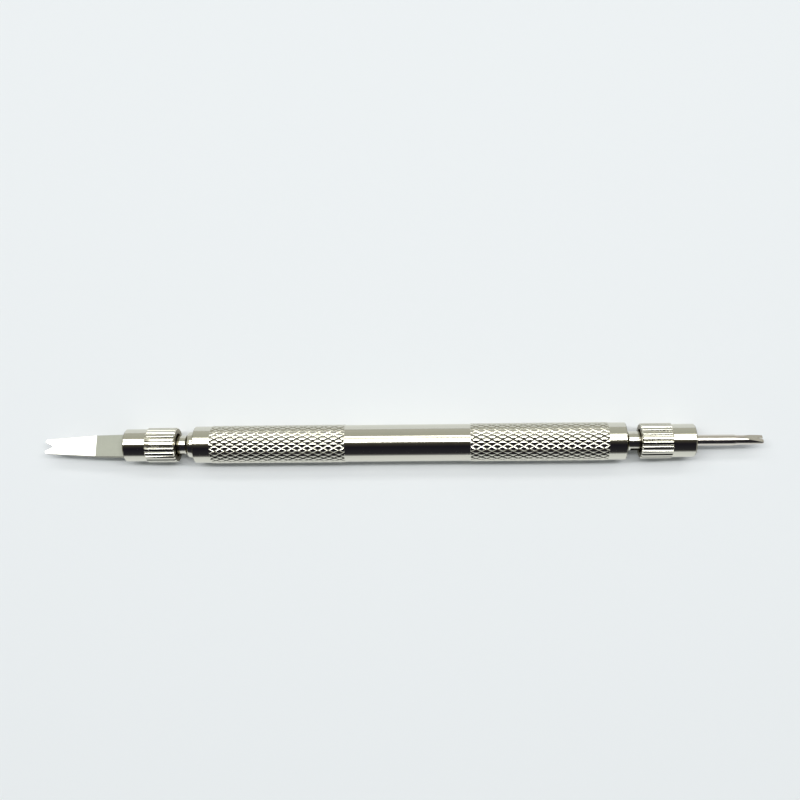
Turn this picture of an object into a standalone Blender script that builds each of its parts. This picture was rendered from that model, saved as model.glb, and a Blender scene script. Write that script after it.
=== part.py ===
# Double-ended spring bar tool: a knurled handle with a split chuck at each end.
# One chuck holds a wide forked blade, the other a fine forked pin.
# Frame: X runs along the tool from blade to pin, +Z up, origin under its middle on the bench.

import math

import bmesh
import bpy
from mathutils import Matrix

MM = 0.001
FACETS = 48  # flats round every turned surface
OVERRUN = 0.5 * MM  # how far a cutter goes past what it cuts

# Handle
HANDLE_LENGTH = 83.5 * MM
HANDLE_RADIUS = 3.6 * MM
KNURL_RADIUS = 3.7 * MM
KNURL_BEVEL = 0.1 * MM
END_BAND = 3.4 * MM
KNURL_LENGTH = 26.2 * MM
HANDLE_CHAMFER = 0.12 * MM
SEAT_RADIUS = 2.74 * MM
SEAT_DEPTH = 1.6 * MM
TAP_CLEARANCE = 0.05 * MM
TAP_SPARE_DEPTH = 0.5 * MM

# Chuck stud, measured outwards from the front of its flange
TENON_RADIUS = 1.75 * MM
TENON_LENGTH = 6.5 * MM
FLANGE_RADIUS = 2.67 * MM
FLANGE_RIM_RADIUS = 2.5 * MM
FLANGE_CONE = 0.5 * MM
FLANGE_TAPER = 1.2 * MM
SEAT_GAP = 0.05 * MM
NECK_RADIUS = 1.85 * MM
NECK_FILLET = 0.15 * MM
THREAD_START = 2.9 * MM
THREAD_RADIUS = 2.0 * MM
JAW_CONE_START = 8.2 * MM
JAW_CONE_LENGTH = 1.2 * MM
JAW_RADIUS = 1.69 * MM
JAW_END = 11.2 * MM
JAW_CHAMFER = 0.15 * MM
SLOT_START = 0.4 * MM
SLOT_WIDTH = 0.9 * MM
JAW_BORE_RADIUS = 1.09 * MM
JAW_BORE_START = 0.9 * MM

# Chuck nut, measured from its back face towards its nose
NUT_LENGTH = 10.28 * MM
NUT_GRIP_RADIUS = 3.4 * MM
NUT_GRIP_LENGTH = 5.87 * MM
NUT_NOSE_RADIUS = 3.2 * MM
NUT_BACK_BEVEL = 0.2 * MM
NUT_NOSE_BEVEL = 0.2 * MM
NUT_RECESS_RADIUS = 2.3 * MM
NUT_RECESS_DEPTH = 1.0 * MM
NUT_THREAD_RADIUS = 2.06 * MM
NUT_CONE_START = 6.4 * MM
NUT_CONE_LENGTH = 1.2 * MM
NUT_HOLE_RADIUS = 1.75 * MM
NUT_HOLE_CHAMFER = 0.15 * MM
NUT_TEETH = 21
NUT_TOOTH_DEPTH = 0.25 * MM

# Wide forked blade
BLADE_TAIL_WIDTH = 2.6 * MM
BLADE_TAIL_THICKNESS = 0.8 * MM
BLADE_TAIL_START = 1.2 * MM  # beyond the flange's front
BLADE_TAIL_OVERLAP = 1.0 * MM
BLADE_SHOULDER_GAP = 0.3 * MM
BLADE_TIP = 30.35 * MM  # from the handle's end
BLADE_FACET = 19.9 * MM
BLADE_HALF_WIDTHS = (2.19 * MM, 2.09 * MM, 1.46 * MM)  # shoulder, facet line, tip
BLADE_THICKNESSES = (1.5 * MM, 1.35 * MM, 0.3 * MM)
BLADE_OFFSET = -0.17 * MM  # it is gripped a little off centre
PRONG_CORNER = 0.42 * MM
NOTCH_HALF_MOUTH = 0.75 * MM
NOTCH_LIP = 0.1 * MM
NOTCH_DEPTH = 1.4 * MM
NOTCH_BOTTOM_RADIUS = 0.25 * MM

# Fine forked pin
PIN_RADIUS = 1.04 * MM
PIN_TAIL_START = 1.2 * MM  # beyond the flange's front
PIN_TAIL_CHAMFER = 0.15 * MM
PIN_STEP = 20.7 * MM  # from the handle's end
PIN_TIP = 26.0 * MM
PIN_FORK_RADIUS = 0.93 * MM
PIN_STEP_CHAMFER = 0.1 * MM
PIN_TIP_CHAMFER = 0.1 * MM
# The fork's two flats, each at this distance from the axis at the step and at the tip.
PIN_UPPER_FLAT = (1.15 * MM, 0.3 * MM)
PIN_LOWER_FLAT = (0.75 * MM, 0.06 * MM)
FLAT_CUTTER_SIZE = (2 * MM, 3 * MM, 8 * MM)
PIN_ROLL = math.radians(35)
PIN_NOTCH_DEPTH = 1.1 * MM
PIN_NOTCH_HALF_WIDTHS = (0.06 * MM, 0.27 * MM)  # bottom and mouth

# side: -1 points along -X, 1 along +X. stand_out: how far the flange stands out of the handle.
CHUCKS = {
    "blade": {"side": -1, "stand_out": 1.7 * MM, "nut_gap": 3.6 * MM, "slot_roll": math.radians(5)},
    "pin": {"side": 1, "stand_out": 0.45 * MM, "nut_gap": 2.77 * MM, "slot_roll": math.radians(18.6)},
}

# The tool lies on one flat of its knurl, and the origin is midway between its two tips.
AXIS_HEIGHT = KNURL_RADIUS * math.cos(math.pi / FACETS)
HANDLE_CENTRE_X = (BLADE_TIP - PIN_TIP) / 2
HALF_FACET = math.pi / FACETS


def clear_scene():
    for old in list(bpy.data.objects):
        bpy.data.objects.remove(old)


def new_collection(name):
    collection = bpy.data.collections.new(name)
    bpy.context.scene.collection.children.link(collection)
    return collection


def metal(name, color, roughness):
    material = bpy.data.materials.new(name)
    material.use_nodes = True
    shader = material.node_tree.nodes["Principled BSDF"]
    shader.inputs["Base Color"].default_value = (*color, 1)
    shader.inputs["Metallic"].default_value = 1
    shader.inputs["Roughness"].default_value = roughness
    return material


def add_object(name, mesh, collection, parent=None, location=(0, 0, 0), roll=0):
    obj = bpy.data.objects.new(name, mesh)
    collection.objects.link(obj)
    obj.parent = parent
    obj.location = location
    obj.rotation_euler = (0, 0, roll)
    return obj


def make_cutter(name, mesh, parent, location=(0, 0, 0), roll=0):
    obj = add_object(name, mesh, cutters, parent, location, roll)
    obj.hide_render = True
    obj.display_type = "WIRE"
    return obj


def cut(obj, cutter, operation="DIFFERENCE"):
    boolean = obj.modifiers.new(cutter.name, "BOOLEAN")
    boolean.operation = operation
    boolean.object = cutter


def finish(obj, material):
    obj.data.materials.append(material)
    obj.data.shade_smooth()
    obj.data.set_sharp_from_angle(angle=math.radians(25))


def mesh_of(shape, name):
    mesh = bpy.data.meshes.new(name)
    shape.to_mesh(mesh)
    shape.free()
    return mesh


def turned_mesh(name, profile, closed=False):
    """A profile of (radius, height) points as edges in the XZ plane, outer side from top to bottom."""
    shape = bmesh.new()
    points = [shape.verts.new((radius, 0, height)) for radius, height in profile]
    for first, second in zip(points, points[1:]):
        shape.edges.new((first, second))
    if closed:
        shape.edges.new((points[-1], points[0]))
    return mesh_of(shape, name)


def spin(obj):
    screw = obj.modifiers.new("Turned", "SCREW")
    screw.steps = FACETS
    screw.render_steps = FACETS
    screw.use_merge_vertices = True
    screw.merge_threshold = 1e-6


def block_mesh(name, size, centre=(0, 0, 0)):
    shape = bmesh.new()
    place = Matrix.Translation(centre) @ Matrix.Diagonal((*size, 1))
    bmesh.ops.create_cube(shape, size=1, matrix=place)
    return mesh_of(shape, name)


def arc(centre, radius, start, end, count):
    angles = [math.radians(start + (end - start) * i / count) for i in range(count + 1)]
    return [(centre[0] + radius * math.cos(a), centre[1] + radius * math.sin(a)) for a in angles]


def plate_mesh(name, outline, thickness):
    """A flat outline of (width, length) points, as thick as asked along X, with length along Z."""
    curve = bpy.data.curves.new(name, "CURVE")
    curve.dimensions = "2D"
    curve.fill_mode = "BOTH"
    curve.extrude = thickness / 2
    spline = curve.splines.new("POLY")
    spline.points.add(len(outline) - 1)
    for point, (width, length) in zip(spline.points, outline):
        point.co = (width, length, 0, 1)
    spline.use_cyclic_u = True
    guide = bpy.data.objects.new(name, curve)
    cutters.objects.link(guide)
    bpy.context.view_layer.update()
    mesh = bpy.data.meshes.new_from_object(guide.evaluated_get(bpy.context.evaluated_depsgraph_get()))
    bpy.data.objects.remove(guide)
    shape = bmesh.new()
    shape.from_mesh(mesh)
    bmesh.ops.remove_doubles(shape, verts=shape.verts, dist=1e-6)
    # The outline's X, Y and Z become width Y, length Z and thickness X.
    turn = Matrix(((0, 0, 1, 0), (1, 0, 0, 0), (0, 1, 0, 0), (0, 0, 0, 1)))
    bmesh.ops.transform(shape, matrix=turn, verts=shape.verts)
    bmesh.ops.recalc_face_normals(shape, faces=shape.faces)
    shape.to_mesh(mesh)
    shape.free()
    return mesh


def between(value, start, end, first, last):
    return first + (last - first) * (value - start) / (end - start)


def build_handle():
    end = HANDLE_LENGTH / 2
    grip_out = end - END_BAND
    grip_in = grip_out - KNURL_LENGTH
    hole = end - SEAT_DEPTH - TENON_LENGTH - TAP_SPARE_DEPTH
    hole_radius = TENON_RADIUS + TAP_CLEARANCE
    half = [
        (0, hole),
        (hole_radius, hole),
        (hole_radius, end - SEAT_DEPTH),
        (SEAT_RADIUS, end - SEAT_DEPTH),
        (SEAT_RADIUS, end),
        (HANDLE_RADIUS - HANDLE_CHAMFER, end),
        (HANDLE_RADIUS, end - HANDLE_CHAMFER),
        (HANDLE_RADIUS, grip_out),
        (KNURL_RADIUS, grip_out - KNURL_BEVEL),
        (KNURL_RADIUS, grip_in + KNURL_BEVEL),
        (HANDLE_RADIUS, grip_in),
    ]
    profile = half + [(radius, -height) for radius, height in reversed(half)]
    handle = add_object("handle", turned_mesh("handle", profile), parts)
    spin(handle)
    # Turned by half a facet, so that a flat of the knurl faces the bench.
    handle.rotation_euler = Matrix.Rotation(math.pi / 2, 3, "Y").to_euler()
    handle.rotation_euler.rotate_axis("Z", HALF_FACET)
    handle.location = (HANDLE_CENTRE_X, 0, AXIS_HEIGHT)
    finish(handle, metal("handle_plated_steel", (0.72, 0.71, 0.67), 0.18))


def chuck_frame(name, chuck):
    """An empty at the handle's end on the tool's axis, its +Z pointing out of the handle."""
    frame = bpy.data.objects.new(name, None)
    parts.objects.link(frame)
    frame.location = (HANDLE_CENTRE_X + chuck["side"] * HANDLE_LENGTH / 2, 0, AXIS_HEIGHT)
    frame.rotation_euler = (0, chuck["side"] * math.pi / 2, 0)
    return frame


def build_stud(name, chuck, frame):
    """It is screwed into the handle until its flange rests on the floor of the handle's seat."""
    flange_back = SEAT_GAP - SEAT_DEPTH - chuck["stand_out"]
    profile = [
        (0, JAW_BORE_START),
        (JAW_BORE_RADIUS, JAW_BORE_START),
        (JAW_BORE_RADIUS, JAW_END),
        (JAW_RADIUS - JAW_CHAMFER, JAW_END),
        (JAW_RADIUS, JAW_END - JAW_CHAMFER),
        (JAW_RADIUS, JAW_CONE_START + JAW_CONE_LENGTH),
        (THREAD_RADIUS, JAW_CONE_START),
        (THREAD_RADIUS, THREAD_START),
        (NECK_RADIUS, THREAD_START - (THREAD_RADIUS - NECK_RADIUS)),
        (NECK_RADIUS, NECK_FILLET),
        (NECK_RADIUS + NECK_FILLET, 0),
        (FLANGE_RIM_RADIUS, -FLANGE_CONE),
        (FLANGE_RADIUS, -FLANGE_CONE - FLANGE_TAPER),
        (FLANGE_RADIUS, flange_back),
        (TENON_RADIUS, flange_back),
        (TENON_RADIUS, flange_back - TENON_LENGTH),
        (0, flange_back - TENON_LENGTH),
    ]
    place = (0, 0, chuck["stand_out"])
    roll = -chuck["side"] * chuck["slot_roll"]
    stud = add_object(name, turned_mesh(name, profile), parts, frame, place, roll)
    spin(stud)
    slot_length = JAW_END - SLOT_START + OVERRUN
    slot_size = (SLOT_WIDTH, 4 * THREAD_RADIUS, slot_length)
    slot = block_mesh("saw_slot", slot_size, (0, 0, SLOT_START + slot_length / 2))
    cut(stud, make_cutter(name + "_slot", slot, frame, place, roll))
    finish(stud, metal("stud_plated_steel", (0.7, 0.69, 0.65), 0.22))


def tooth_groove_mesh():
    """One V groove for each gap between two teeth, pointing inwards round the nut."""
    shape = bmesh.new()
    root = NUT_GRIP_RADIUS - NUT_TOOTH_DEPTH
    reach = 2 * NUT_TOOTH_DEPTH  # an equilateral prism's corner is this far from its middle
    for tooth in range(NUT_TEETH):
        place = (
            Matrix.Rotation(2 * math.pi * tooth / NUT_TEETH, 4, "Z")
            @ Matrix.Translation((root + reach, 0, NUT_GRIP_LENGTH / 2 - OVERRUN))
            @ Matrix.Rotation(math.pi / 2, 4, "Z")
        )
        bmesh.ops.create_cone(
            shape,
            cap_ends=True,
            segments=3,
            radius1=reach,
            radius2=reach,
            depth=NUT_GRIP_LENGTH + 2 * OVERRUN,
            matrix=place,
        )
    return mesh_of(shape, "tooth_grooves")


def build_nut(name, chuck, frame):
    cone_end = NUT_CONE_START + NUT_CONE_LENGTH
    profile = [
        (NUT_HOLE_RADIUS + NUT_HOLE_CHAMFER, NUT_LENGTH),
        (NUT_NOSE_RADIUS - NUT_NOSE_BEVEL, NUT_LENGTH),
        (NUT_NOSE_RADIUS, NUT_LENGTH - NUT_NOSE_BEVEL),
        (NUT_NOSE_RADIUS, NUT_GRIP_LENGTH + NUT_GRIP_RADIUS - NUT_NOSE_RADIUS),
        (NUT_GRIP_RADIUS, NUT_GRIP_LENGTH),
        (NUT_GRIP_RADIUS, NUT_BACK_BEVEL),
        (NUT_GRIP_RADIUS - NUT_BACK_BEVEL, 0),
        (NUT_RECESS_RADIUS, 0),
        (NUT_RECESS_RADIUS, NUT_RECESS_DEPTH),
        (NUT_THREAD_RADIUS, NUT_RECESS_DEPTH + NUT_RECESS_RADIUS - NUT_THREAD_RADIUS),
        (NUT_THREAD_RADIUS, NUT_CONE_START),
        (NUT_HOLE_RADIUS, cone_end),
        (NUT_HOLE_RADIUS, NUT_LENGTH - NUT_HOLE_CHAMFER),
    ]
    place = (0, 0, chuck["nut_gap"])
    nut = add_object(name, turned_mesh(name, profile, closed=True), parts, frame, place)
    spin(nut)
    cut(nut, make_cutter(name + "_grooves", tooth_groove_mesh(), frame, place))
    finish(nut, metal("nut_plated_steel", (0.74, 0.73, 0.69), 0.16))


def blade_outline(shoulder):
    at_shoulder, at_facet, at_tip = BLADE_HALF_WIDTHS
    notch_floor = BLADE_TIP - NOTCH_DEPTH + NOTCH_BOTTOM_RADIUS
    half = [(at_shoulder, shoulder), (at_facet, BLADE_FACET)]
    half += arc((at_tip - PRONG_CORNER, BLADE_TIP - PRONG_CORNER), PRONG_CORNER, 0, 90, 5)
    half += [(NOTCH_HALF_MOUTH + NOTCH_LIP, BLADE_TIP), (NOTCH_HALF_MOUTH, BLADE_TIP - NOTCH_LIP)]
    half += arc((0, notch_floor), NOTCH_BOTTOM_RADIUS, -15, -75, 4)
    return half + [(-width, length) for width, length in reversed(half)]


def blade_thickness(length, shoulder):
    at_shoulder, at_facet, at_tip = BLADE_THICKNESSES
    if length < BLADE_FACET:
        return between(length, shoulder, BLADE_FACET, at_shoulder, at_facet)
    return between(length, BLADE_FACET, BLADE_TIP, at_facet, at_tip)


def build_blade(chuck, frame):
    shoulder = chuck["nut_gap"] + NUT_LENGTH + BLADE_SHOULDER_GAP
    thickest = BLADE_THICKNESSES[0]
    mesh = plate_mesh("wide_fork_blade", blade_outline(shoulder), thickest)
    shape = bmesh.new()
    shape.from_mesh(mesh)
    # An edge loop at the facet line, then the wedge is ground by drawing both faces in.
    everything = shape.verts[:] + shape.edges[:] + shape.faces[:]
    bmesh.ops.bisect_plane(shape, geom=everything, plane_co=(0, 0, BLADE_FACET), plane_no=(0, 0, 1))
    for vert in shape.verts:
        vert.co.x *= blade_thickness(vert.co.z, shoulder) / thickest
    shape.to_mesh(mesh)
    shape.free()
    roll = -chuck["side"] * chuck["slot_roll"]
    mesh.transform(Matrix.Translation((0, BLADE_OFFSET, 0)))
    blade = add_object("wide_fork_blade", mesh, parts, frame, roll=roll)
    tail_start = chuck["stand_out"] + BLADE_TAIL_START
    tail_end = shoulder + BLADE_TAIL_OVERLAP
    tail_size = (BLADE_TAIL_THICKNESS, BLADE_TAIL_WIDTH, tail_end - tail_start)
    tail = block_mesh("blade_tail", tail_size, (0, BLADE_OFFSET, (tail_start + tail_end) / 2))
    cut(blade, make_cutter("blade_tail", tail, frame, roll=roll), "UNION")
    finish(blade, metal("blade_ground_steel", (0.62, 0.61, 0.57), 0.3))


def flat_cutter_mesh(side, at_step, at_tip):
    """A block whose inner face is one tapering flat of the pin's fork."""
    taper = math.atan((at_step - at_tip) / (PIN_TIP - PIN_STEP))
    size = FLAT_CUTTER_SIZE
    inner_corner = Matrix.Translation((size[0] / 2, 0, size[2] / 2))
    place = (
        Matrix.Translation((side * at_step, 0, PIN_STEP))
        @ Matrix.Rotation(-side * taper, 4, "Y")
        @ Matrix.Diagonal((side, 1, 1, 1))
        @ inner_corner
        @ Matrix.Diagonal((*size, 1))
    )
    shape = bmesh.new()
    bmesh.ops.create_cube(shape, size=1, matrix=place)
    bmesh.ops.recalc_face_normals(shape, faces=shape.faces)
    return mesh_of(shape, "fork_flat")


def fork_notch_mesh():
    bottom, mouth = PIN_NOTCH_HALF_WIDTHS
    shape = bmesh.new()
    place = Matrix.Translation((0, 0, PIN_TIP + (OVERRUN - PIN_NOTCH_DEPTH) / 2))
    size = (2 * FLAT_CUTTER_SIZE[0], 2 * mouth, PIN_NOTCH_DEPTH + OVERRUN, 1)
    bmesh.ops.create_cube(shape, size=1, matrix=place @ Matrix.Diagonal(size))
    for vert in shape.verts:
        if vert.co.z < PIN_TIP - PIN_NOTCH_DEPTH / 2:
            vert.co.y *= bottom / mouth
    return mesh_of(shape, "fork_notch")


def build_pin(chuck, frame):
    tail = chuck["stand_out"] + PIN_TAIL_START
    profile = [
        (0, PIN_TIP),
        (PIN_FORK_RADIUS - PIN_TIP_CHAMFER, PIN_TIP),
        (PIN_FORK_RADIUS, PIN_TIP - PIN_TIP_CHAMFER),
        (PIN_FORK_RADIUS, PIN_STEP + PIN_STEP_CHAMFER),
        (PIN_RADIUS, PIN_STEP),
        (PIN_RADIUS, tail + PIN_TAIL_CHAMFER),
        (PIN_RADIUS - PIN_TAIL_CHAMFER, tail),
        (0, tail),
    ]
    roll = -chuck["side"] * PIN_ROLL
    mesh = turned_mesh("fine_fork_pin", profile)
    pin = add_object("fine_fork_pin", mesh, parts, frame, roll=roll)
    spin(pin)
    for label, side, flat in (("upper", -1, PIN_UPPER_FLAT), ("lower", 1, PIN_LOWER_FLAT)):
        cut(pin, make_cutter(label + "_fork_flat", flat_cutter_mesh(side, *flat), frame, roll=roll))
    cut(pin, make_cutter("fork_notch", fork_notch_mesh(), frame, roll=roll))
    finish(pin, metal("pin_polished_steel", (0.66, 0.65, 0.62), 0.14))


clear_scene()
parts = new_collection("spring_bar_tool")
cutters = new_collection("cutters")
build_handle()
for end_name, end_chuck in CHUCKS.items():
    end_frame = chuck_frame(end_name + "_end", end_chuck)
    build_stud(end_name + "_chuck_stud", end_chuck, end_frame)
    build_nut(end_name + "_chuck_nut", end_chuck, end_frame)
    if end_name == "blade":
        build_blade(end_chuck, end_frame)
    else:
        build_pin(end_chuck, end_frame)
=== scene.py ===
import math

import bmesh
import bpy
from mathutils import Matrix, Vector


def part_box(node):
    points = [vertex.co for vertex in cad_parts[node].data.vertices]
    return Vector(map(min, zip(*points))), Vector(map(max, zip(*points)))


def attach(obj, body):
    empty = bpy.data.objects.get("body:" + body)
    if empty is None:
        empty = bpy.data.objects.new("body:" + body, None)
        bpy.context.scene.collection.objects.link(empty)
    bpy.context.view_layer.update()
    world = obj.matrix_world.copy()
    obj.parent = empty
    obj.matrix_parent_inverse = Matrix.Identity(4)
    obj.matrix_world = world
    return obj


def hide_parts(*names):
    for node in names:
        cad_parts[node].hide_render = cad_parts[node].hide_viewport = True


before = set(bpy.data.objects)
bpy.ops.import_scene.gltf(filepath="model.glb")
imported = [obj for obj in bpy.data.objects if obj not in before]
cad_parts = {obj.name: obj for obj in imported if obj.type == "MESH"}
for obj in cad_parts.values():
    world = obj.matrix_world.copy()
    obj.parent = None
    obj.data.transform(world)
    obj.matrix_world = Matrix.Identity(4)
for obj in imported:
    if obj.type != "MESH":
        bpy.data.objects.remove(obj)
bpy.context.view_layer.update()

mm = 0.001
weld = 1e-4  # points closer than this are one, in millimetres
sliceGap = 1e-5
handleLow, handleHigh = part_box("handle")
axisHeight = (handleLow.z + handleHigh.z) / 2
handleMiddle = (handleLow.x + handleHigh.x) / 2
halfHandle = (handleHigh.x - handleLow.x) / 2 / mm
print("frame loaded, handle half length", round(halfHandle, 3), "mm")


def everything(shape):
    return shape.verts[:] + shape.edges[:] + shape.faces[:]


def endMatrix(side):
    # from an end of the handle outwards: local +Z leaves the handle, side -1 is the blade's end
    end = handleMiddle + side * halfHandle * mm
    turn = Matrix.Rotation(side * math.pi / 2, 4, "Y")
    return Matrix.Translation((end, 0, axisHeight)) @ turn @ Matrix.Scale(mm, 4)


def middleMatrix():
    turn = Matrix.Rotation(math.pi / 2, 4, "Y")
    return Matrix.Translation((handleMiddle, 0, axisHeight)) @ turn @ Matrix.Scale(mm, 4)


def rollMatrix(degrees):
    return Matrix.Rotation(math.radians(degrees), 4, "Z")


def finishPiece(name, shape, place, sharpAngle=32):
    bmesh.ops.transform(shape, matrix=place, verts=shape.verts)
    bmesh.ops.recalc_face_normals(shape, faces=shape.faces)
    mesh = bpy.data.meshes.new(name)
    shape.to_mesh(mesh)
    shape.free()
    mesh.shade_smooth()
    mesh.set_sharp_from_angle(angle=math.radians(sharpAngle))
    piece = bpy.data.objects.new(name, mesh)
    bpy.context.scene.collection.objects.link(piece)
    return piece


def setPiece(piece, body, node, material):
    piece.data.materials.append(material)
    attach(piece, body)
    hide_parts(node)
    print(piece.name, "ready,", len(piece.data.polygons), "faces")


def spinProfile(profile, steps):
    # a line of (radius, height) points turned full circle
    shape = bmesh.new()
    points = [shape.verts.new((radius, 0, height)) for radius, height in profile]
    lines = [shape.edges.new(pair) for pair in zip(points, points[1:])]
    bmesh.ops.spin(
        shape, geom=points + lines, cent=(0, 0, 0), axis=(0, 0, 1),
        angle=2 * math.pi, steps=steps, use_merge=True, use_duplicate=False,
    )
    bmesh.ops.remove_doubles(shape, verts=shape.verts, dist=weld)
    bmesh.ops.recalc_face_normals(shape, faces=shape.faces)
    return shape


def cutAway(shape, cutter):
    # Boolean difference of two closed bmeshes, done with the modifier and read back
    objects = []
    for label, part in (("blank", shape), ("cutter", cutter)):
        mesh = bpy.data.meshes.new(label)
        part.to_mesh(mesh)
        part.free()
        obj = bpy.data.objects.new(label, mesh)
        bpy.context.scene.collection.objects.link(obj)
        objects.append(obj)
    blank, tool = objects
    boolean = blank.modifiers.new("cut", "BOOLEAN")
    boolean.operation = "DIFFERENCE"
    boolean.solver = "EXACT"
    boolean.object = tool
    result = bmesh.new()
    result.from_object(blank, bpy.context.evaluated_depsgraph_get())
    for obj in objects:
        mesh = obj.data
        bpy.data.objects.remove(obj)
        bpy.data.meshes.remove(mesh)
    bmesh.ops.remove_doubles(result, verts=result.verts, dist=weld)
    return result


def block(size, centre):
    shape = bmesh.new()
    place = Matrix.Translation(centre) @ Matrix.Diagonal((*size, 1))
    bmesh.ops.create_cube(shape, size=1, matrix=place)
    return shape


def nextRing(shape, ring, radius, height, groove=None, evenly=False):
    # extrudes a ring of edges to a new radius and height
    made = bmesh.ops.extrude_edge_only(shape, edges=ring)["geom"]
    points = [item for item in made if isinstance(item, bmesh.types.BMVert)]
    shapeRing(points, radius, height, groove, evenly)
    return [item for item in made if isinstance(item, bmesh.types.BMEdge) and all(
        vert in points for vert in item.verts)]


def shapeRing(points, radius, height, groove=None, evenly=False):
    angles = {point: math.atan2(point.co.y, point.co.x) for point in points}
    if evenly:
        order = sorted(points, key=angles.get)
        first = angles[order[0]]
        for count, point in enumerate(order):
            angles[point] = first + 2 * math.pi * count / len(order)
    for point in points:
        angle = angles[point]
        reach = radius - (groove(angle) if groove else 0)
        point.co = (reach * math.cos(angle), reach * math.sin(angle), height)


class Value:
    # a number on a shader graph: + - * / ** add the Math nodes
    def __init__(self, graph, socket):
        self.graph = graph
        self.socket = socket

    def maths(self, operation, *inputs):
        return self.graph.value("ShaderNodeMath", {"operation": operation}, dict(enumerate(inputs)))

    def __add__(self, other):
        return self.maths("ADD", self, other)

    def __sub__(self, other):
        return self.maths("SUBTRACT", self, other)

    def __rsub__(self, other):
        return self.maths("SUBTRACT", other, self)

    def __mul__(self, other):
        return self.maths("MULTIPLY", self, other)

    def __truediv__(self, other):
        return self.maths("DIVIDE", self, other)

    def __pow__(self, other):
        return self.maths("POWER", self, other)

    __radd__ = __add__
    __rmul__ = __mul__


class Graph:
    def __init__(self, tree):
        self.tree = tree

    def node(self, kind, settings=None, inputs=None):
        made = self.tree.nodes.new(kind)
        for name, setting in (settings or {}).items():
            setattr(made, name, setting)
        for name, given in (inputs or {}).items():
            if isinstance(given, Value):
                given = given.socket
            if isinstance(given, bpy.types.NodeSocket):
                self.tree.links.new(given, made.inputs[name])
            else:
                made.inputs[name].default_value = given
        return made

    def value(self, kind, settings=None, inputs=None):
        return Value(self, self.node(kind, settings, inputs).outputs[0])

    def ease(self, value, low, high):
        # 0 below low, 1 above high, smooth between
        limits = {"Value": value, "From Min": low, "From Max": high}
        return self.value("ShaderNodeMapRange", {"interpolation_type": "SMOOTHSTEP"}, limits)

    def noise(self, vector, scale, detail=3, roughness=0.5):
        fields = {"Vector": vector, "Scale": scale, "Detail": detail, "Roughness": roughness}
        return self.value("ShaderNodeTexNoise", None, fields)

    def stretch(self, vector, scale):
        return self.node("ShaderNodeMapping", None, {"Vector": vector, "Scale": scale}).outputs[0]

    def blend(self, factor, first, second):
        # two colours mixed
        fields = {"Factor": factor, 6: first, 7: second}
        return self.node("ShaderNodeMix", {"data_type": "RGBA"}, fields).outputs[2]


def newMaterial(name):
    material = bpy.data.materials.new(name)
    material.use_nodes = True
    graph = Graph(material.node_tree)
    shader = material.node_tree.nodes["Principled BSDF"]
    place = graph.node("ShaderNodeTexCoord").outputs["Object"]
    return material, graph, shader, place


def connect(graph, given, socket):
    graph.tree.links.new(given.socket if isinstance(given, Value) else given, socket)


def axisRadius(graph, place):
    # distance from the tool's axis, in millimetres
    parts = graph.node("ShaderNodeSeparateXYZ", None, {0: place})
    across = Value(graph, parts.outputs["Y"])
    up = Value(graph, parts.outputs["Z"]) - axisHeight
    return (across * across + up * up) ** 0.5 / mm


plateGrain = {
    "turning": (9000, 60, 60),
    "handling": (500, 900, 900),
    "specks": (2600, 2600, 2600),
    "speckCut": (0.72, 0.8),
    "bumpHeight": 0.000004,
    "handlingBump": 0.8,
}


def nickel(name, look):
    # bright plate over turned steel: turning lines round the axis, faint handling marks,
    # dull where the grooves keep polish and dirt, and dark there with painted shade and dirt, set by distance
    # from the axis
    material, graph, shader, place = newMaterial(name)
    turning = graph.noise(graph.stretch(place, plateGrain["turning"]), 1, 2, 0.6)
    handling = graph.noise(graph.stretch(place, plateGrain["handling"]), 1, 4, 0.6)
    spots = graph.noise(graph.stretch(place, plateGrain["specks"]), 1, 2)
    specks = graph.ease(spots, *plateGrain["speckCut"])
    # painted shade and dirt: nearer the axis than the crest radius, the colour turns to the groove colour in
    # grooves, bores, slots and recesses
    crest = graph.ease(axisRadius(graph, place), look["grooveRadius"], look["crestRadius"])
    plateTone = graph.blend(handling, look["plate"], look["plateWarm"])
    tone = graph.blend(crest, look["grooveShadeAndDirt"], plateTone)
    tone = graph.blend(specks * look["specks"], tone, look["speckColour"])
    rough = look["roughness"] + handling * look["handlingRoughness"] + turning * look["turningRoughness"]
    rough = rough + (1 - crest) * look["grooveRoughness"]
    bump = graph.node("ShaderNodeBump", None, {
        "Strength": look["bump"],
        "Distance": plateGrain["bumpHeight"],
        "Height": turning + handling * plateGrain["handlingBump"],
    })
    connect(graph, tone, shader.inputs["Base Color"])
    connect(graph, rough, shader.inputs["Roughness"])
    connect(graph, bump.outputs[0], shader.inputs["Normal"])
    shader.inputs["Metallic"].default_value = 1
    return material


handleLook = {
    "radius": 3.6,
    "endBand": 3.4,
    "gripLength": 26.2,
    "diamondsAround": 19,
    "diamondsAlong": 13,
    "grooveRadius": 3.56,
    "crestRadius": 3.7,
    "crownSteps": ((0.05, 0.3), (0.1, 0.72), (0.11, 0.93), (0.06, 1)),  # inset, share of the height
    "runOut": 0.06,
    "bandSupport": 0.05,  # rings that keep the bands' shading straight
    "endChamfer": 0.12,
    "seatRadius": 2.74,
    "seatChamfer": 0.12,
    "seatDepth": 1.6,
    "holeRadius": 1.8,
    "holeDepth": 8.6,
}

handleFinish = {
    "plate": (0.70, 0.69, 0.60, 1),
    "plateWarm": (0.74, 0.71, 0.62, 1),
    # the groove colour below: painted shade and dirt, dark olive, in the knurl's grooves and the handle's
    # bore
    "grooveShadeAndDirt": (0.09, 0.08, 0.045, 1),
    "speckColour": (0.32, 0.29, 0.24, 1),
    "specks": 0.3,
    "grooveRadius": 3.558,
    "crestRadius": 3.592,
    "roughness": 0.05,
    "handlingRoughness": 0.07,
    "turningRoughness": 0.03,
    "grooveRoughness": 0.25,
    "bump": 0.25,
}


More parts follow.
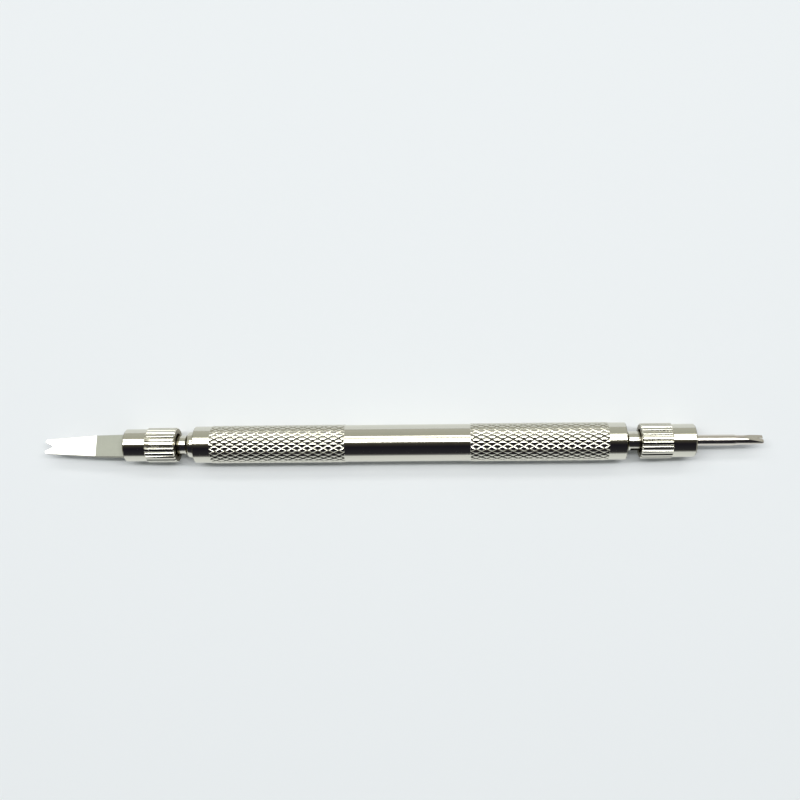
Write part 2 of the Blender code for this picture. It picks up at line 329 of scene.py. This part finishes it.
def knurlBand(look):
    # a sheet of squares turned by 45 degrees, each raised to a crowned diamond, rolled into a sleeve
    around, along = look["diamondsAround"], look["diamondsAlong"]
    squares = 2 * math.ceil((around + along) / 2) + 2
    shape = bmesh.new()
    bmesh.ops.create_grid(
        shape, x_segments=squares, y_segments=squares, size=squares * math.sqrt(0.5) / 2,
        matrix=Matrix.Rotation(math.pi / 4, 4, "Z"),
    )
    tops = shape.faces[:]
    for width, height in look["crownSteps"]:
        bmesh.ops.inset_individual(shape, faces=tops, thickness=width, use_even_offset=True)
        for face in tops:
            for vert in face.verts:
                vert.co.z = height
    # the sheet is trimmed to one turn by the grip's length
    trims = ((around / 2, 0, 1, 0), (-around / 2, 0, -1, 0), (0, along / 2, 0, 1), (0, -along / 2, 0, -1))
    for x, y, outX, outY in trims:
        bmesh.ops.bisect_plane(
            shape, geom=everything(shape), dist=sliceGap, plane_co=(x, y, 0),
            plane_no=(outX, outY, 0), clear_outer=True,
        )
    inner = halfHandle - look["endBand"] - look["gripLength"]
    deep, high = look["grooveRadius"], look["crestRadius"]
    for vert in shape.verts:
        angle = 2 * math.pi * vert.co.x / around
        radius = deep + (high - deep) * vert.co.z
        height = inner + (vert.co.y / along + 0.5) * look["gripLength"]
        vert.co = (radius * math.cos(angle), radius * math.sin(angle), height)
    bmesh.ops.remove_doubles(shape, verts=shape.verts, dist=weld)
    return shape


def buildHandle():
    look = handleLook
    shape = knurlBand(look)
    outer = halfHandle - look["endBand"]
    inner = outer - look["gripLength"]
    radius, seat, hole = look["radius"], look["seatRadius"], look["holeRadius"]
    rims = [edge for edge in shape.edges if edge.is_boundary]
    inside = [edge for edge in rims if edge.verts[0].co.z < (inner + outer) / 2]
    outside = [edge for edge in rims if edge not in inside]
    inside = nextRing(shape, inside, radius, inner - look["runOut"], evenly=True)
    inside = nextRing(shape, inside, radius, inner - look["runOut"] - look["bandSupport"])
    nextRing(shape, inside, radius, 0)
    path = [
        (radius, outer + look["runOut"] + look["bandSupport"]),
        (radius, halfHandle - look["endChamfer"] - look["bandSupport"]),
        (radius, halfHandle - look["endChamfer"]),
        (radius - look["endChamfer"], halfHandle),
        (seat + look["seatChamfer"], halfHandle),
        (seat, halfHandle - look["seatChamfer"]),
        (seat, halfHandle - look["seatDepth"]),
        (hole, halfHandle - look["seatDepth"]),
        (hole, halfHandle - look["holeDepth"]),
        (0, halfHandle - look["holeDepth"]),
    ]
    outside = nextRing(shape, outside, radius, outer + look["runOut"], evenly=True)
    for ringRadius, height in path:
        outside = nextRing(shape, outside, ringRadius, height)
    bmesh.ops.remove_doubles(shape, verts=shape.verts, dist=weld)
    bmesh.ops.mirror(shape, geom=everything(shape), axis="Z", merge_dist=weld)
    return finishPiece("knurledHandle", shape, middleMatrix())


setPiece(buildHandle(), "handle", "handle", nickel("plated handle", handleFinish))


studLook = {
    "steps": 72,
    "flangeRadius": 2.67,
    "flangeRim": 2.5,
    "flangeCone": 0.5,
    "flangeTaper": 1.2,
    "neckRadius": 1.85,
    "neckFillet": 0.15,
    "threadRadius": 2.0,
    "threadStart": 2.9,
    "threadPitch": 0.5,
    "threadDepth": 0.15,
    "threadLand": 0.1,
    "threadRunOut": 0.15,
    "rimRounding": 0.05,
    "rimEdge": 0.04,
    "jawChamfer": 0.15,
    "filletAngles": (90, 60, 30),
    "slotOverrun": 0.5,
    "jawCone": (8.2, 9.4),
    "jawRadius": 1.69,
    "jawEnd": 11.2,
    "tenonRadius": 1.75,
    "tenonLength": 6.5,
    "slotWidth": 0.9,
    "slotStart": 0.4,
    "boreRadius": 1.09,
    "boreStart": 0.9,
    "seatGap": 0.05,
}

ends = {
    "blade": {"side": -1, "standOut": 1.7, "nutGap": 3.6, "slotRoll": 5},
    "pin": {"side": 1, "standOut": 0.45, "nutGap": 2.77, "slotRoll": 18.6},
}

studFinish = {
    "plate": (0.70, 0.69, 0.60, 1),
    "plateWarm": (0.73, 0.70, 0.61, 1),
    # the groove colour below: painted shade and dirt, near black, in the slot, the bore and on the jaws
    "grooveShadeAndDirt": (0.03, 0.028, 0.022, 1),
    "speckColour": (0.32, 0.29, 0.24, 1),
    "specks": 0.3,
    "grooveRadius": 1.55,
    "crestRadius": 1.78,
    "roughness": 0.08,
    "handlingRoughness": 0.07,
    "turningRoughness": 0.05,
    "grooveRoughness": 0.25,
    "bump": 0.3,
}


def buildStud(end):
    look = studLook
    back = look["seatGap"] - handleLook["seatDepth"] - end["standOut"]
    neck, thread = look["neckRadius"], look["threadRadius"]
    coneStart, coneEnd = look["jawCone"]
    profile = [
        (0, look["boreStart"]),
        (look["boreRadius"], look["boreStart"]),
        (look["boreRadius"], look["jawEnd"]),
        (look["jawRadius"] - look["jawChamfer"], look["jawEnd"]),
        (look["jawRadius"], look["jawEnd"] - look["jawChamfer"]),
        (look["jawRadius"], coneEnd),
        (thread, coneStart),
    ]
    turns = int((coneStart - look["threadStart"]) / look["threadPitch"])
    for turn in range(turns, 0, -1):
        crest = look["threadStart"] + turn * look["threadPitch"] - look["threadLand"]
        profile.append((thread, crest))
        profile.append((thread - look["threadDepth"], crest - look["threadPitch"] / 2))
    fillet = look["neckFillet"]
    profile.append((neck, look["threadStart"] - look["threadRunOut"]))
    profile += [
        (neck + fillet * (1 - math.sin(math.radians(a))), fillet * (1 - math.cos(math.radians(a))))
        for a in look["filletAngles"]
    ]
    rim, flange, cone = look["flangeRim"], look["flangeRadius"], look["flangeCone"]
    rounding = look["rimRounding"]
    profile += [
        (neck + fillet, 0),
        (rim - look["rimEdge"], -cone + rounding),
        (rim, -cone - rounding),
        (flange, -cone - look["flangeTaper"]),
        (flange, back),
        (look["tenonRadius"], back),
        (look["tenonRadius"], back - look["tenonLength"]),
        (0, back - look["tenonLength"]),
    ]
    start, stop = look["slotStart"], look["jawEnd"] + look["slotOverrun"]
    slot = block((look["slotWidth"], 4 * thread, stop - start), (0, 0, (start + stop) / 2))
    shape = cutAway(spinProfile(profile, look["steps"]), slot)
    place = endMatrix(end["side"]) @ Matrix.Translation((0, 0, end["standOut"]))
    return place @ rollMatrix(-end["side"] * end["slotRoll"]), shape


for endName, end in ends.items():
    place, shape = buildStud(end)
    stud = finishPiece(endName + "ChuckStud", shape, place)
    node = endName + "_chuck_stud"
    setPiece(stud, "handle", node, nickel("plated stud " + endName, studFinish))


nutLook = {
    "teeth": 21,
    "pointsPerTooth": 10,
    "toothDepth": 0.25,
    "grooveWidth": 0.19,  # half width at the top, of a tooth
    "crown": 0.025,
    "length": 10.28,
    "gripLength": 5.87,
    "gripRadius": 3.4,
    "gripRounding": 0.16,
    "gripShoulder": 0.3,  # share of the rounding where it starts to fall
    "noseStep": 0.03,
    "noseRadius": 3.2,
    "noseChamfer": 0.2,
    "backChamfer": 0.2,
    "recessRadius": 2.3,
    "recessDepth": 1.0,
    "threadRadius": 2.06,
    "threadLeadIn": 0.24,
    "cone": (6.4, 7.6),
    "holeRadius": 1.75,
    "holeChamfer": 0.15,
    "ridgeTurn": {"blade": -1.7, "pin": 6.9},  # degrees from straight up to a groove, towards -Y
}

nutFinish = {
    "plate": (0.70, 0.69, 0.60, 1),
    "plateWarm": (0.74, 0.71, 0.62, 1),
    # the groove colour below: painted shade and dirt in the grip's grooves, the recess, the bore and on the
    # nose ring
    "grooveShadeAndDirt": (0.17, 0.145, 0.08, 1),
    "speckColour": (0.34, 0.31, 0.26, 1),
    "specks": 0.3,
    "grooveRadius": 3.14,
    "crestRadius": 3.19,
    "roughness": 0.05,
    "handlingRoughness": 0.06,
    "turningRoughness": 0.03,
    "grooveRoughness": 0.2,
    "bump": 0.25,
}


def buildNut(endName):
    look = nutLook
    end = ends[endName]
    # local +X is up at the blade's end and down at the pin's end, and +Y is +Y at both
    first = look["ridgeTurn"][endName]
    zero = -math.radians(first) if end["side"] < 0 else math.pi + math.radians(first)

    def grooves(depth):
        def groove(angle):
            phase = ((angle - zero) * look["teeth"] / (2 * math.pi) + 0.5) % 1 - 0.5
            cut = max(0, 1 - abs(phase) / look["grooveWidth"])
            return depth * cut + min(depth, look["crown"]) * (1 - 2 * abs(phase)) ** 2
        return groove

    full = look["toothDepth"]
    grip, nose, length = look["gripRadius"], look["noseRadius"], look["length"]
    gripEnd, rounding = look["gripLength"], look["gripRounding"]
    eased = look["gripShoulder"] * rounding
    coneStart, coneEnd = look["cone"]
    path = [
        (look["recessRadius"], 0, 0),
        (grip - look["backChamfer"], 0, full - look["backChamfer"]),
        (grip, look["backChamfer"], full),
        (grip, gripEnd - rounding, full),
        (grip - eased, gripEnd - eased, full - eased),
        (grip - rounding, gripEnd, full - rounding),
        (nose, gripEnd + look["noseStep"], 0),
        (nose, length - look["noseChamfer"], 0),
        (nose - look["noseChamfer"], length, 0),
        (look["holeRadius"] + look["holeChamfer"], length, 0),
        (look["holeRadius"], length - look["holeChamfer"], 0),
        (look["holeRadius"], coneEnd, 0),
        (look["threadRadius"], coneStart, 0),
        (look["threadRadius"], look["recessDepth"] + look["threadLeadIn"], 0),
        (look["recessRadius"], look["recessDepth"], 0),
        (look["recessRadius"], 0, 0),
    ]
    shape = bmesh.new()
    made = bmesh.ops.create_circle(shape, segments=look["teeth"] * look["pointsPerTooth"], radius=1)
    shapeRing(made["verts"], path[0][0], path[0][1])
    ring = shape.edges[:]
    for radius, height, depth in path[1:]:
        ring = nextRing(shape, ring, radius, height, grooves(depth) if depth else None)
    bmesh.ops.remove_doubles(shape, verts=shape.verts, dist=weld)
    place = endMatrix(end["side"]) @ Matrix.Translation((0, 0, end["nutGap"]))
    return finishPiece(endName + "ChuckNut", shape, place)


for endName in ends:
    nut = buildNut(endName)
    node = endName + "_chuck_nut"
    setPiece(nut, endName + "_nut", node, nickel("plated nut " + endName, nutFinish))


bladeLook = {
    "tip": 30.35,
    "facetLine": 19.9,
    "shoulderGap": 0.3,
    "halfWidths": (2.19, 2.09, 1.46),  # shoulder, facet line, tip
    "thicknesses": (1.5, 1.35, 0.3),
    "offset": -0.17,
    "prongCorner": 0.42,
    "notchHalfMouth": 0.75,
    "notchLip": 0.1,
    "notchDepth": 1.4,
    "notchRounding": 0.25,
    "edgeRounding": 0.05,
    "sharpAngle": 20,
    "roundedFrom": 30,  # degrees between faces
    "tailWidth": 2.6,
    "tailThickness": 0.8,
    "tailStart": 2.9,
}


def arcPoints(centre, radius, start, stop, count):
    angles = [math.radians(start + (stop - start) * i / count) for i in range(count + 1)]
    return [(centre[0] + radius * math.cos(a), centre[1] + radius * math.sin(a)) for a in angles]


def bladeThickness(height, shoulder):
    atShoulder, atFacet, atTip = bladeLook["thicknesses"]
    line, tip = bladeLook["facetLine"], bladeLook["tip"]
    if height < line:
        return atShoulder + (atFacet - atShoulder) * (height - shoulder) / (line - shoulder)
    return atFacet + (atTip - atFacet) * (height - line) / (tip - line)


def buildBlade():
    look = bladeLook
    end = ends["blade"]
    shoulder = end["nutGap"] + nutLook["length"] + look["shoulderGap"]
    atShoulder, atFacet, atTip = look["halfWidths"]
    tip, corner, lip = look["tip"], look["prongCorner"], look["notchLip"]
    notchFloor = tip - look["notchDepth"] + look["notchRounding"]
    half = [(atShoulder, shoulder), (atFacet, look["facetLine"])]
    half += arcPoints((atTip - corner, tip - corner), corner, 0, 90, 8)
    half += [(look["notchHalfMouth"] + lip, tip), (look["notchHalfMouth"], tip - lip)]
    half += arcPoints((0, notchFloor), look["notchRounding"], -15, -80, 5)
    outline = half + [(-width, height) for width, height in reversed(half)]
    shape = bmesh.new()
    thick = look["thicknesses"][0]
    corners = [shape.verts.new((-thick / 2, width, height)) for width, height in outline]
    made = bmesh.ops.contextual_create(shape, geom=corners)["faces"]
    made = bmesh.ops.extrude_face_region(shape, geom=made)["geom"]
    lifted = [item for item in made if isinstance(item, bmesh.types.BMVert)]
    bmesh.ops.translate(shape, vec=(thick, 0, 0), verts=lifted)
    bmesh.ops.bisect_plane(
        shape, geom=everything(shape), dist=sliceGap, plane_co=(0, 0, look["facetLine"]), plane_no=(0, 0, 1))
    for vert in shape.verts:
        vert.co.x *= bladeThickness(vert.co.z, shoulder) / thick
    # the tail leaves the middle of the shoulder face
    back = [face for face in shape.faces if all(vert.co.z < shoulder + 1e-3 for vert in face.verts)]
    scale = (look["tailThickness"] / thick, look["tailWidth"] / (2 * atShoulder), 1)
    for step in (Matrix.Diagonal((*scale, 1)), Matrix.Translation((0, 0, look["tailStart"] - shoulder))):
        back = bmesh.ops.extrude_discrete_faces(shape, faces=back)["faces"]
        bmesh.ops.transform(shape, matrix=step, verts=list({v for face in back for v in face.verts}))
    bmesh.ops.recalc_face_normals(shape, faces=shape.faces)
    sharp = [edge for edge in shape.edges if edge.calc_face_angle(0) > math.radians(look["roundedFrom"])]
    bmesh.ops.bevel(
        shape, geom=sharp, offset=look["edgeRounding"], offset_type="OFFSET", affect="EDGES",
        segments=2, profile=0.5, material=-1, clamp_overlap=True)
    place = endMatrix(end["side"]) @ rollMatrix(-end["side"] * end["slotRoll"])
    place = place @ Matrix.Translation((0, look["offset"], 0))
    return finishPiece("wideForkBlade", shape, place, look["sharpAngle"])


bladeFinish = {
    "satin": (0.49, 0.50, 0.44, 1),
    "satinDark": (0.46, 0.465, 0.40, 1),
    "ground": (0.86, 0.855, 0.82, 1),
    "satinRoughness": 0.72,
    "groundRoughness": 0.16,
    # edge colours: painted shade, dark olive, on the blade's side faces
    "edge": (0.30, 0.285, 0.20, 1),
    "edgeShadeDark": (0.20, 0.20, 0.155, 1),
    "edgeRoughness": 0.38,
    "groundBlur": 0.12,
    "mottleGrain": (1500, 1500, 1500),
    "rollingGrain": (12000, 350, 350),
    "filingGrain": (300, 5000, 5000),
    "bump": 0.3,
    "bumpHeight": 0.000005,
}


def bladeSteel():
    # satin where it is rolled, brighter and smoother where the wedge is ground
    look = bladeFinish
    material, graph, shader, place = newMaterial("ground blade steel")
    parts = graph.node("ShaderNodeSeparateXYZ", None, {0: place})
    fromHandle = (handleLow.x - Value(graph, parts.outputs["X"])) / mm
    line, blur = bladeLook["facetLine"], look["groundBlur"]
    ground = graph.ease(fromHandle, line - blur, line + blur)
    mottle = graph.noise(graph.stretch(place, look["mottleGrain"]), 1, 5, 0.65)
    grain = graph.noise(graph.stretch(place, look["rollingGrain"]), 1, 3, 0.6)
    satin = graph.blend(mottle, look["satinDark"], look["satin"])
    tone = graph.blend(ground, satin, look["ground"])
    rough = look["satinRoughness"] + (look["groundRoughness"] - look["satinRoughness"]) * ground
    rough = rough + (mottle - 0.5) * 0.12 + (grain - 0.5) * 0.08
    bump = graph.node("ShaderNodeBump", None, {
        "Strength": look["bump"], "Distance": look["bumpHeight"], "Height": grain + mottle * 0.6,
    })
    connect(graph, tone, shader.inputs["Base Color"])
    connect(graph, rough, shader.inputs["Roughness"])
    connect(graph, bump.outputs[0], shader.inputs["Normal"])
    shader.inputs["Metallic"].default_value = 1
    return material


def bladeEdgeShade():
    # the sheared and filed edges, painted darker than the flats as shade; the filing grain is their own
    look = bladeFinish
    material, graph, shader, place = newMaterial("blade edge, painted shade")
    filing = graph.noise(graph.stretch(place, look["filingGrain"]), 1, 4, 0.6)
    connect(graph, graph.blend(filing, look["edgeShadeDark"], look["edge"]), shader.inputs["Base Color"])
    connect(graph, look["edgeRoughness"] + (filing - 0.5) * 0.2, shader.inputs["Roughness"])
    bump = graph.node("ShaderNodeBump", None, {
        "Strength": look["bump"], "Distance": look["bumpHeight"], "Height": filing,
    })
    connect(graph, bump.outputs[0], shader.inputs["Normal"])
    shader.inputs["Metallic"].default_value = 1
    return material


blade = buildBlade()
setPiece(blade, "blade", "wide_fork_blade", bladeSteel())
blade.data.materials.append(bladeEdgeShade())
# faces square to the flats are the filed edges, which take the painted edge shade
bladeTurn = (endMatrix(-1) @ rollMatrix(ends["blade"]["slotRoll"])).to_3x3()
flatWay = (bladeTurn @ Vector((1, 0, 0))).normalized()
for face in blade.data.polygons:
    if abs(face.normal.dot(flatWay)) < 0.5:
        face.material_index = 1


pinLook = {
    "radius": 1.04,
    "forkRadius": 0.93,
    "stepChamfer": 0.1,
    "tail": 1.65,
    "tailChamfer": 0.15,
    "step": 20.7,
    "tip": 26.0,
    "tipChamfer": 0.1,
    # upper and lower flat: distance from the axis at the step and at the tip
    "flats": {-1: (1.15, 0.3), 1: (0.75, 0.06)},
    "cutterSize": (2, 3),
    "overrun": 0.5,
    "roll": 35,
    "notchDepth": 1.1,
    "notchHalfWidths": (0.06, 0.27),
    "steps": 64,
}

pinFinish = {
    "plate": (0.72, 0.69, 0.63, 1),
    "plateWarm": (0.69, 0.63, 0.55, 1),
    # the groove colour below: painted shade and dirt on the pin's faces near the axis, in the notch
    "grooveShadeAndDirt": (0.6, 0.58, 0.54, 1),
    "speckColour": (0.3, 0.27, 0.24, 1),
    "specks": 0.35,
    "grooveRadius": 0.1,
    "crestRadius": 0.3,
    "roughness": 0.12,
    "handlingRoughness": 0.08,
    "turningRoughness": 0.05,
    "grooveRoughness": 0.0,
    "bump": 0.3,
}


def flatCutter(side, atStep, atTip):
    look = pinLook
    step, tip = look["step"], look["tip"]
    deep, wide = look["cutterSize"]
    top = tip + 2 * look["overrun"]
    cutter = block((deep, wide, top - step), (side * deep / 2, 0, (step + top) / 2))
    taper = (atStep - atTip) / (tip - step)
    for vert in cutter.verts:
        if abs(vert.co.x) < deep / 2:
            vert.co.x = side * (atStep - taper * (vert.co.z - step))
    return cutter


def buildPin():
    look = pinLook
    tip, radius, forkRadius = look["tip"], look["radius"], look["forkRadius"]
    profile = [
        (0, tip),
        (forkRadius - look["tipChamfer"], tip),
        (forkRadius, tip - look["tipChamfer"]),
        (forkRadius, look["step"] + look["stepChamfer"]),
        (radius, look["step"]),
        (radius, look["tail"] + look["tailChamfer"]),
        (radius - look["tailChamfer"], look["tail"]),
        (0, look["tail"]),
    ]
    shape = spinProfile(profile, look["steps"])
    for side, (atStep, atTip) in look["flats"].items():
        shape = cutAway(shape, flatCutter(side, atStep, atTip))
    bottom, mouth = look["notchHalfWidths"]
    depth, overrun = look["notchDepth"], look["overrun"]
    through = 2 * look["cutterSize"][0]
    notch = block((through, 2 * mouth, depth + overrun), (0, 0, tip + (overrun - depth) / 2))
    for vert in notch.verts:
        if vert.co.z < tip - depth / 2:
            vert.co.y *= bottom / mouth
    shape = cutAway(shape, notch)
    end = ends["pin"]
    return finishPiece("fineForkPin", shape, endMatrix(end["side"]) @ rollMatrix(-end["side"] * look["roll"]))


setPiece(buildPin(), "pin", "fine_fork_pin", nickel("polished pin steel", pinFinish))


studio = {
    "floorSize": 6.0,
    "floorDrop": 0.00001,
    "floorColour": (0.87, 0.87, 0.847, 1),
    "lampDistance": 1.0,
    "lampLength": 1.6,
    # angle of the lamp's middle from straight up towards +Y, its width in degrees, its radiance
    "lamps": {"key": (4.8, 6.4, 12.0), "overhead": (14.4, 12.8, 1.9), "back": (31.5, 9, 2.75)},
    "lampColour": (0.97, 1.0, 1.03),
    "softFill": (0.185, 0.205, 0.225, 1),  # what reaches matt surfaces from all round
    "backdrop": (0.86, 0.875, 0.885, 1),
    # what the metal sees: angle from straight up towards +Y, colour
    "surround": (
        (-90, (0.30, 0.31, 0.31)),
        (-78, (0.03, 0.03, 0.035)),
        (-30, (0.012, 0.011, 0.018)),
        (-8, (0.05, 0.045, 0.035)),
        (0, (0.45, 0.42, 0.33)),
        (26, (0.70, 0.69, 0.56)),
        (46, (0.48, 0.49, 0.43)),
        (90, (0.56, 0.57, 0.53)),
    ),
}


def buildFloor():
    shape = bmesh.new()
    bmesh.ops.create_grid(shape, x_segments=2, y_segments=2, size=studio["floorSize"] / 2)
    bmesh.ops.translate(shape, vec=(0, 0, -studio["floorDrop"]), verts=shape.verts)
    floor = finishPiece("studioFloor", shape, Matrix.Identity(4))
    material, graph, shader, place = newMaterial("matt paper")
    connect(graph, graph.noise(place, 900, 4) * 0.06 + 0.6, shader.inputs["Roughness"])
    shader.inputs["Base Color"].default_value = studio["floorColour"]
    shader.inputs["Specular IOR Level"].default_value = 0.2
    floor.data.materials.append(material)


def buildLamps():
    distance, length = studio["lampDistance"], studio["lampLength"]
    for name, (angle, width, radiance) in studio["lamps"].items():
        lamp = bpy.data.lights.new(name, "AREA")
        lamp.shape = "RECTANGLE"
        lamp.size = length
        lamp.size_y = 2 * distance * math.tan(math.radians(width / 2))
        lamp.energy = math.pi * radiance * lamp.size * lamp.size_y
        lamp.color = studio["lampColour"]
        holder = bpy.data.objects.new(name, lamp)
        tilt = math.radians(angle)
        holder.location = (0, distance * math.sin(tilt), distance * math.cos(tilt))
        holder.rotation_euler = (-tilt, 0, 0)
        bpy.context.scene.collection.objects.link(holder)


def buildSurround():
    world = bpy.data.worlds.new("studio")
    bpy.context.scene.world = world
    world.use_nodes = True
    tree = world.node_tree
    tree.nodes.clear()
    graph = Graph(tree)
    parts = graph.node("ShaderNodeSeparateXYZ", None, {
        0: graph.node("ShaderNodeTexCoord").outputs["Generated"]})
    across, up = (Value(graph, parts.outputs[name]) for name in "YZ")
    angle = across.maths("ARCTAN2", across, up) / math.pi + 0.5
    ramp = graph.node("ShaderNodeValToRGB", None, {0: angle})
    stops = ramp.color_ramp.elements
    first, last = studio["surround"][0], studio["surround"][-1]
    stops[0].position, stops[0].color = first[0] / 180 + 0.5, (*first[1], 1)
    stops[1].position, stops[1].color = last[0] / 180 + 0.5, (*last[1], 1)
    for degrees, colour in studio["surround"][1:-1]:
        stops.new(degrees / 180 + 0.5).color = (*colour, 1)
    rays = graph.node("ShaderNodeLightPath").outputs
    colour = graph.blend(rays["Is Diffuse Ray"], ramp.outputs[0], studio["softFill"])
    colour = graph.blend(rays["Is Camera Ray"], colour, studio["backdrop"])
    background = graph.node("ShaderNodeBackground", None, {0: colour})
    output = graph.node("ShaderNodeOutputWorld")
    connect(graph, background.outputs[0], output.inputs[0])


cameraLook = {
    "lens": 42.85,
    "azimuth": 18.52,
    "elevation": 80,
    "roll": -18.92,
    "distance": 185.46,
    "lookAt": (0.73, 8.25, 5.07),
}


def buildCamera():
    look = cameraLook
    data = bpy.data.cameras.new("camera")
    data.lens = look["lens"]
    data.clip_start, data.clip_end = 0.005, 20
    around, up = math.radians(look["azimuth"]), math.radians(look["elevation"])
    back = Vector((math.sin(around) * math.cos(up), -math.cos(around) * math.cos(up), math.sin(up)))
    camera = bpy.data.objects.new("camera", data)
    place = (Vector(look["lookAt"]) + back * look["distance"]) * mm
    turn = (-back).to_track_quat("-Z", "Y").to_matrix().to_4x4()
    camera.matrix_world = Matrix.Translation(place) @ turn @ rollMatrix(look["roll"])
    bpy.context.scene.collection.objects.link(camera)
    bpy.context.scene.camera = camera


buildFloor()
buildLamps()
buildSurround()
buildCamera()
bpy.context.scene.view_settings.view_transform = "Standard"
print("studio ready")
